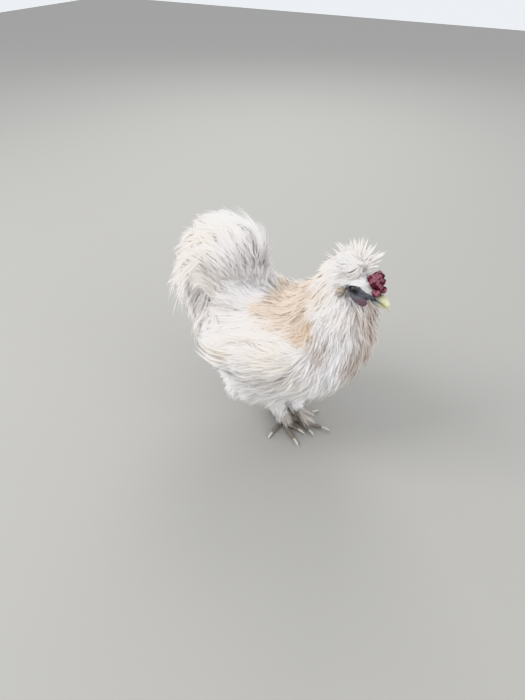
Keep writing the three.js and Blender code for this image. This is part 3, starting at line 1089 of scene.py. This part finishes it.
def growFan(name, seed):
    # Long feathers over the outer toes, dusty from the ground
    picks = np.random.default_rng(seed)
    hub = middleOf("foot_" + name) * [1, 1, 0]
    heading, turn, reach = fans[name]
    lines = []
    for out in np.linspace(-34, 34, 13) + picks.uniform(-3, 3, 13):
        angle = np.radians(heading + sides[name] * turn + out)
        way = np.array([np.cos(angle), np.sin(angle), 0])
        far = (12 + reach * picks.uniform(0.7, 1.05)) * mm
        heights = np.array([26, 21, 15, 9, 5]) * picks.uniform(0.8, 1.1) * mm
        steps = np.array([0.1, 0.3, 0.55, 0.8, 1.0])
        lines.append(hub + far * steps[:, None] * way + heights[:, None] * [0, 0, 1])
    guides = np.array(lines)
    strandMesh("coatFan_" + name, guides, np.broadcast_to([0.0, 0.0, 1.0], guides.shape), fanLook, seed)


for number, name in enumerate(sides):
    growLeg(name, 70 + number)
    growFan(name, 75 + number)


# Single long feathers


def curve(knots, steps):
    # A smooth line through a few places
    knots = np.asarray(knots, float)
    t = np.linspace(0, len(knots) - 1, steps)
    k = np.clip(t.astype(int), 0, len(knots) - 2)
    u = (t - k)[:, None]
    wide = np.vstack([2 * knots[0] - knots[1], knots, 2 * knots[-1] - knots[-2]])
    a, b, c, d = wide[k], wide[k + 1], wide[k + 2], wide[k + 3]
    return b + u * (c - a) / 2 + u**2 * (a - 2.5 * b + 2 * c - d / 2) + u**3 * (1.5 * (b - c) + (d - a) / 2)


quillLook = {
    "strands": 9, "width": 0.0006, "spread": 0.0016, "thick": 0.12, "pinch": 0.6, "splay": 0.0004,
    "shortest": 0.85, "roll": 0.3, "apart": 4.3, "dusts": [0.0, 0.55, 0.1, 0.8, 0.3, 0.7, 0.15],
}
spikeLook = {
    "strands": 4, "width": 0.0005, "spread": 0.0009, "pinch": 0.9, "splay": 0.0006,
    "count": 150, "spot": np.array([-5, 0, 19]), "reach": 39, "backMore": 17, "frontMore": 7, "fall": 5,
}
streamerLook = {
    "strands": 9, "width": 0.0005, "spread": 0.003, "pinch": 0.5, "splay": 0.004,
    "count": 150, "start": (10, 165), "sweep": (35, 65), "reach": 56, "drop": 66,
}


def growQuills():
    # Stiff shafts at the end of each folded wing, their bases under the coat
    picks = np.random.default_rng(80)
    lines, outs = [], []
    for side in sides.values():
        for i in range(len(quillLook["dusts"])):
            rise = quillLook["apart"] * i + picks.uniform(-1, 1)
            front = picks.uniform(-8, 8)
            knots = [
                (-8 + front, side * 86, 154 + rise),
                (-34 + front, side * 98, 157 + rise),
                (-62 - i, side * 103.5, 160 + rise),
                (-98 + 3 * i + front / 3, side * 92, 163 + rise),
            ]
            lines.append(away(curve(knots, 7)))
            outs.append([0, side, 0.2])
    guides = np.array(lines)
    outs = np.array(outs)[:, None] + np.zeros(guides.shape)
    strandMesh("coatQuills", guides, outs, quillLook, 80, {"dust": np.tile(quillLook["dusts"], 2)})


def growSpikes():
    # The crest's long feathers burst out from the top of the skull, longest at the back
    look = spikeLook
    picks = np.random.default_rng(81)
    lines = []
    while len(lines) < int(look["count"] * thin):
        way = unit(picks.normal(size=3) + [-0.25, 0, 0.25])
        if way[2] < (0.55 if way[0] > 0.25 else -0.2 if way[0] < -0.6 else 0.45):
            continue
        more = look["backMore"] if way[0] < 0 else look["frontMore"]
        reach = (look["reach"] + more * way[0] ** 2) * picks.uniform(0.72, 1.06)
        fall = look["fall"] * (1 - way[2]) * picks.uniform(0.4, 1.2)
        sway = picks.normal(size=3) * 2.5
        knots = [look["spot"] + way * reach * t + (sway - [0, 0, fall]) * t**2 for t in (0.35, 0.68, 1.0)]
        lines.append([onHead(*k) for k in curve(knots, 5)])
    guides = np.array(lines)
    strandMesh("coatSpikes", guides, unit(guides - onHead(*look["spot"])), look, 81)


def growStreamers():
    # Loose feathers that arch over the tail and fall behind it
    look = streamerLook
    picks = np.random.default_rng(82)
    lines = []
    for _ in range(int(look["count"] * thin)):
        start = picks.uniform(*look["start"])
        sweep = picks.uniform(*look["sweep"])
        low = look["drop"] * (np.clip((start + sweep - 70) / 130, 0, 1)) ** 2
        y = picks.normal() * 20
        flat = math.sqrt(max(1 - (y / 50) ** 2, 0.2))
        reach = look["reach"] * flat * picks.uniform(0.9, 1.0)
        knots = []
        for t in (0, 0.33, 0.66, 1):
            turn = math.radians(start + sweep * t)
            far = reach * (0.8 + 0.42 * t ** 0.8)
            back = -96 - 0.6 * low * t + far * math.cos(turn)
            knots.append((back, 3 + y * (1 + 0.25 * t), 261 - low * t + far * math.sin(turn)))
        lines.append(away(curve(knots, 6)))
    guides = np.array(lines)
    strandMesh("coatStreamers", guides, unit(guides - away((-96, 3, 240))), look, 82)


growQuills()
growSpikes()
growStreamers()


# Eyes, bill and claws


eyeRings = [(0.0, "050404"), (0.30, "060404"), (0.34, "2e1a10"), (0.58, "1d110c"), (0.66, "0d0a0a")]


def eyeMaterial():
    # Rings of colour from the pupil outwards
    shader = Shader("eye")
    stops = [(spot, rgb(code)) for spot, code in eyeRings]
    ring = shader.node("ValToRGB", {"stops": stops}, {0: shader.attribute("polar")})
    return shader.surface(Base_Color=ring, Roughness=0.12, Coat_Weight=1.0, Coat_Roughness=0.03)


def makeEye(name, side):
    radius = eyeRadius(name)
    rings, around = 24, 32
    polar = np.pi * (np.arange(rings + 1) / rings)[:, None]
    turn = 2 * np.pi * (np.arange(around) / around)[None]
    bulge = radius * (1 + 0.05 * hump(polar / 0.5))
    axis = unit(headLeft * side + 0.18 * headAhead)
    across = unit(np.cross(axis, [0, 0, 1]))
    up = np.cross(across, axis)
    shape = [np.cos(polar) + 0 * turn, np.sin(polar) * np.cos(turn), np.sin(polar) * np.sin(turn)]
    points = sum((bulge * s)[..., None] * a for s, a in zip(shape, (axis, across, up)))
    points = eyeSpots[name] + points.reshape(-1, 3)
    k, j = np.meshgrid(np.arange(rings), np.arange(around), indexing="ij")
    after = (j + 1) % around
    row, below = k * around, (k + 1) * around
    quads = np.stack([row + j, below + j, below + after, row + after], axis=-1)
    eye = addPart(f"eye_{name}_ball", points, quads.reshape(-1, 4), ["eye_" + name], eyeLook)
    setAttribute(eye.data, "polar", np.repeat(np.arange(rings + 1) / rings * 2, around))


eyeLook = eyeMaterial()
for name, side in sides.items():
    makeEye(name, side)


billShades = [(0.0, "6b6f73"), (0.22, "979b8a"), (0.5, "b2b08e"), (1.0, "c6c2a2")]  # from the head to the tip
clawShades = ("d9d3c8", "a39a8d")


def billMaterial():
    shader = Shader("bill")
    stops = [(spot, rgb(code)) for spot, code in billShades]
    color = shader.node("ValToRGB", {"stops": stops}, {0: shader.attribute("reach")})
    streak = shader.noise(shader.place(), 420.0, 4.0)
    return shader.surface(
        Base_Color=shader.tint(color, streak * 0.35 + 0.82),
        Roughness=0.32 + 0.2 * streak,
        Specular_IOR_Level=0.5,
        Normal=shader.bump(streak, 0.12, 0.0004),
    )


def clawMaterial():
    shader = Shader("claw")
    streak = shader.noise(shader.place(), 500.0, 3.0)
    color = shader.blend(streak, *map(rgb, clawShades))
    return shader.surface(Base_Color=color, Roughness=0.4, Specular_IOR_Level=0.45)


def shapeHorn(members, smooth):
    voxel = 0.0003
    space = Space(members, voxel, 6 * voxel)
    parts = [blurred(space.distance(*solidOf(n, 0.0001), 4 * voxel, 8 * voxel), smooth) for n in members]
    return space.surface(np.minimum.reduce(parts))


billLook = billMaterial()
for part in ("bill_upper", "bill_lower"):
    points, quads = shapeHorn([part], 3)
    p = inHead(points)
    if part == "bill_upper":  # the nostril's slit
        facing = vertexNormals(points, quads)
        slit = hump((p[:, 0] - 29.5 + 0.5 * p[:, 2]) / 2.2, (p[:, 2] + 2.2) / 0.75)
        points = points - facing * (0.0008 * slit * (np.abs(p[:, 1]) > 1.5))[:, None]
    horn = addPart(part + "_horn", points, quads, [part], billLook)
    setAttribute(horn.data, "reach", ramp(p[:, 0], 24, 45))

clawLook = clawMaterial()
for name in sides:
    members = [f"claw_{t}_{name}" for t in toeNames]
    points, quads = shapeHorn(members, 2)
    addPart("claws_" + name, points, quads, members, clawLook)
say("eyes, bill and claws")


# Floor, light and camera


room = {"floor": "989692", "sky": (0.93, 0.96, 1.0, 1), "skyStrength": 1.15, "view": "Khronos PBR Neutral"}
lamps = {  # spot, size and power
    "key": ((-1.2, -1.1, 1.8), 1.2, 36),
    "fill": ((1.8, -0.6, 1.0), 1.6, 14),
    "rim": ((-0.8, 1.6, 1.6), 1.2, 20),
}


def makeStage():
    floorLook = Shader("floor").surface(Base_Color=rgb(room["floor"]), Roughness=0.8)
    corners = np.array([[-4, -4, 0], [4, -4, 0], [4, 4, 0], [-4, 4, 0]], float)
    floor = makeObject("floor", corners, [np.array([[0, 1, 2, 3]])], floorLook)
    for name, (spot, size, power) in lamps.items():
        light = bpy.data.lights.new(name, "AREA")
        light.size = size
        light.energy = power
        lamp = show(bpy.data.objects.new(name, light))
        lamp.location = spot
        lamp.rotation_euler = (Vector((0, 0, 0.15)) - Vector(spot)).to_track_quat("-Z", "Y").to_euler()
    world = bpy.data.worlds.new("room")
    world.use_nodes = True
    sky = world.node_tree.nodes["Background"]
    sky.inputs[0].default_value = room["sky"]
    sky.inputs[1].default_value = room["skyStrength"]
    bpy.context.scene.world = world
    bpy.context.scene.view_settings.view_transform = room["view"]


photoCamera = {"spot": (308.4, -599.1, 654.0), "heading": (-0.5, 0.866), "down": 37.6, "lens": 29.67}


def makeCamera():
    data = bpy.data.cameras.new("camera")
    data.lens = photoCamera["lens"]
    data.sensor_width = 36
    data.clip_start = 0.01
    camera = show(bpy.data.objects.new("camera", data))
    camera.location = away(photoCamera["spot"])
    down = math.radians(photoCamera["down"])
    hx, hy = photoCamera["heading"]
    look = Vector((hx * math.cos(down), hy * math.cos(down), -math.sin(down)))
    camera.rotation_euler = look.to_track_quat("-Z", "Y").to_euler()
    bpy.context.scene.camera = camera


makeStage()
makeCamera()

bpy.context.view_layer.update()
say("done")
